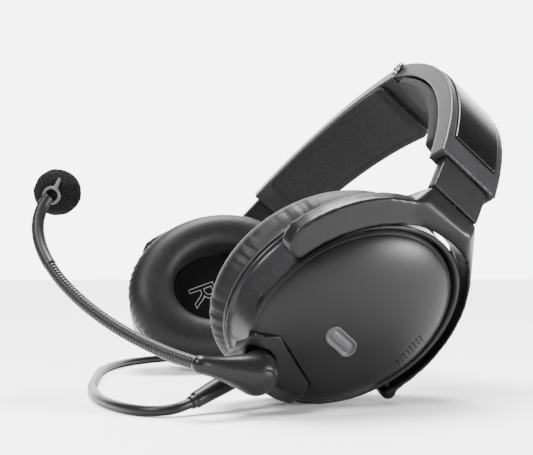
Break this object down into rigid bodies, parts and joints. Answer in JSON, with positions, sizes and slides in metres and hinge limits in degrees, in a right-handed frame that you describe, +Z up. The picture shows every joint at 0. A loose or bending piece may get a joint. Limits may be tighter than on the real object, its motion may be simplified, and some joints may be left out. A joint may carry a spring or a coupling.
{
  "type": "aviation headset",
  "caption": "Aviation headset with sprung folding headband, forked ear cups, leather ear cushions, gooseneck boom microphone, in-line control box and twin-plug lead.",
  "frame": {"origin": "on the surface the headset lies on, below the middle of its box without the cord", "axes": "+X to the wearer's left, +Y to the back of the head, +Z up from the surface; the head's own up direction leans 38.2 degrees from +Z towards +Y"},
  "size_m": [0.335, 0.2885, 0.1626],
  "materials": {
    "band_plastic": "satin moulded plastic with a fine grain",
    "band_gloss_panel": "smooth semi-gloss panel",
    "pad_fabric": "soft felted microfibre",
    "slider_metal": "satin painted metal",
    "steel_pin": "turned steel",
    "yoke_plastic": "satin moulded plastic",
    "shell_plastic": "satin moulded plastic",
    "cap_plastic": "fine-grained satin plastic",
    "port_mesh": "fine woven mesh",
    "inner_plastic": "matte moulded plastic",
    "driver_metal": "plated loudspeaker frame",
    "circuit_board": "solder mask",
    "capsule_metal": "plain",
    "ring_plastic": "matte",
    "cushion_leather": "soft protein leather with gathers",
    "scrim_fabric": "thin acoustic cloth",
    "hinge_metal": "satin",
    "spring_steel": "black oxide",
    "module_plastic": "satin moulded plastic",
    "boom_plastic": "satin moulded plastic",
    "gooseneck_sleeve": "ribbed and sleeved",
    "clip_metal": "satin grey",
    "foam": "open-cell foam",
    "cord_rubber": "smooth matte jacket",
    "box_plastic": "matte moulded plastic",
    "door_plastic": "matte moulded plastic",
    "wheel_rubber": "knurled",
    "button_plastic": "smooth",
    "plug_metal": "polished nickel"
  },
  "bodies": {
    "left_cup": {"left_pivot_pins": "steel_pin", "left_cup_shell": "shell_plastic", "left_cup_cap": "cap_plastic", "left_port_mesh": "port_mesh", "left_baffle": "inner_plastic", "left_driver": "driver_metal", "left_anc_board": "circuit_board", "left_ear_mic": "capsule_metal", "left_baffle_screws": "steel_pin", "left_cushion_ring": "ring_plastic", "left_ear_cushion": "cushion_leather", "left_scrim": "scrim_fabric", "boom_module": "module_plastic", "boom_axle": "steel_pin", "cord_strain_relief": "cord_rubber", "cord_run": "cord_rubber", "cord_coil": "cord_rubber", "cord_tail": "cord_rubber", "control_module": "box_plastic", "plug_leads": "cord_rubber", "phone_plug": "plug_metal", "mic_plug": "plug_metal"},
    "left_yoke": {"left_yoke": "yoke_plastic"},
    "left_slider": {"left_slider": "slider_metal", "left_swivel_pin": "steel_pin"},
    "left_band": {"left_band_frame": "band_plastic", "left_band_trim": "band_gloss_panel", "left_band_cushion": "pad_fabric", "band_hinge_pin": "steel_pin", "band_hinge_cap": "hinge_metal", "band_torsion_spring": "spring_steel"},
    "right_band": {"right_band_frame": "band_plastic", "right_band_trim": "band_gloss_panel", "right_band_cushion": "pad_fabric"},
    "right_slider": {"right_slider": "slider_metal", "right_swivel_pin": "steel_pin"},
    "right_yoke": {"right_yoke": "yoke_plastic"},
    "right_cup": {"right_pivot_pins": "steel_pin", "right_cup_shell": "shell_plastic", "right_cup_cap": "cap_plastic", "right_port_mesh": "port_mesh", "right_baffle": "inner_plastic", "right_driver": "driver_metal", "right_anc_board": "circuit_board", "right_ear_mic": "capsule_metal", "right_baffle_screws": "steel_pin", "right_cushion_ring": "ring_plastic", "right_ear_cushion": "cushion_leather", "right_scrim": "scrim_fabric", "right_module_blank": "module_plastic"},
    "boom_arm": {"boom_hub": "boom_plastic", "gooseneck_lower": "gooseneck_sleeve"},
    "mic_end": {"gooseneck_upper": "gooseneck_sleeve", "mic_capsule": "inner_plastic", "mic_clip": "clip_metal", "windscreen": "foam"},
    "volume_wheel_a": {"left_volume_wheel": "wheel_rubber"},
    "volume_wheel_b": {"right_volume_wheel": "wheel_rubber"},
    "power_key": {"power_button": "button_plastic"},
    "battery_cover": {"battery_door": "door_plastic"}
  },
  "joints": [
    {"name": "left_cup_tilt", "type": "hinge", "parent": "left_cup", "child": "left_yoke", "pos_m": [0.09412, 0.0014, 0.03355], "axis": [-0.368, 0.6154, -0.6971], "range_deg": [-4, 12]},
    {"name": "left_fork_swivel", "type": "hinge", "parent": "left_yoke", "child": "left_slider", "pos_m": [0.11213, 0.03847, 0.0788], "axis": [-0.3752, 0.5732, 0.7284], "range_deg": [-9, 9]},
    {"name": "left_slider_slide", "type": "hinge", "parent": "left_slider", "child": "left_band", "pos_m": [-0.01755, 0.00601, 0.03755], "axis": [0, 0.7859, -0.6184], "range_deg": [-5.17, 4.77]},
    {"name": "band_hinge", "type": "hinge", "parent": "left_band", "child": "right_band", "pos_m": [0, 0.09186, 0.14665], "axis": [0, 0.7859, -0.6184], "range_deg": [0, 30], "stiffness_Nm_per_rad": 1, "springref_deg": -20.05},
    {"name": "right_slider_slide", "type": "hinge", "parent": "right_band", "child": "right_slider", "pos_m": [0.01755, 0.00601, 0.03755], "axis": [0, 0.7859, -0.6184], "range_deg": [-5.17, 4.77]},
    {"name": "right_fork_swivel", "type": "hinge", "parent": "right_slider", "child": "right_yoke", "pos_m": [-0.11213, 0.03847, 0.0788], "axis": [0.3752, 0.5732, 0.7284], "range_deg": [-9, 9]},
    {"name": "right_cup_tilt", "type": "hinge", "parent": "right_yoke", "child": "right_cup", "pos_m": [-0.09412, 0.0014, 0.03355], "axis": [0.368, 0.6154, -0.6971], "range_deg": [-4, 12]},
    {"name": "boom_swing", "type": "hinge", "parent": "left_cup", "child": "boom_arm", "pos_m": [0.10371, -0.03866, 0.01565], "axis": [0.9096, 0.0826, -0.4072], "range_deg": [-50, 4]},
    {"name": "gooseneck_bend", "type": "hinge", "parent": "boom_arm", "child": "mic_end", "pos_m": [0.04276, -0.09285, 0.04013], "axis": [-0.5275, 0.8296, -0.1829], "range_deg": [-18, 18]},
    {"name": "left_volume_turn", "type": "hinge", "parent": "left_cup", "child": "volume_wheel_a", "pos_m": [-0.1331, 0.08668, 0.0096], "axis": [0, 0, 1], "range_deg": [-135, 135]},
    {"name": "right_volume_turn", "type": "hinge", "parent": "left_cup", "child": "volume_wheel_b", "pos_m": [-0.12235, 0.11469, 0.0096], "axis": [0, 0, 1], "range_deg": [-135, 135]},
    {"name": "power_press", "type": "slide", "parent": "left_cup", "child": "power_key", "axis": [0, 0, -1], "range_m": [0, 0.0008], "stiffness_N_per_m": 300, "springref_m": -0.001},
    {"name": "battery_door_lift", "type": "slide", "parent": "left_cup", "child": "battery_cover", "axis": [0, 0, 1], "range_m": [0, 0.012]}
  ]
}
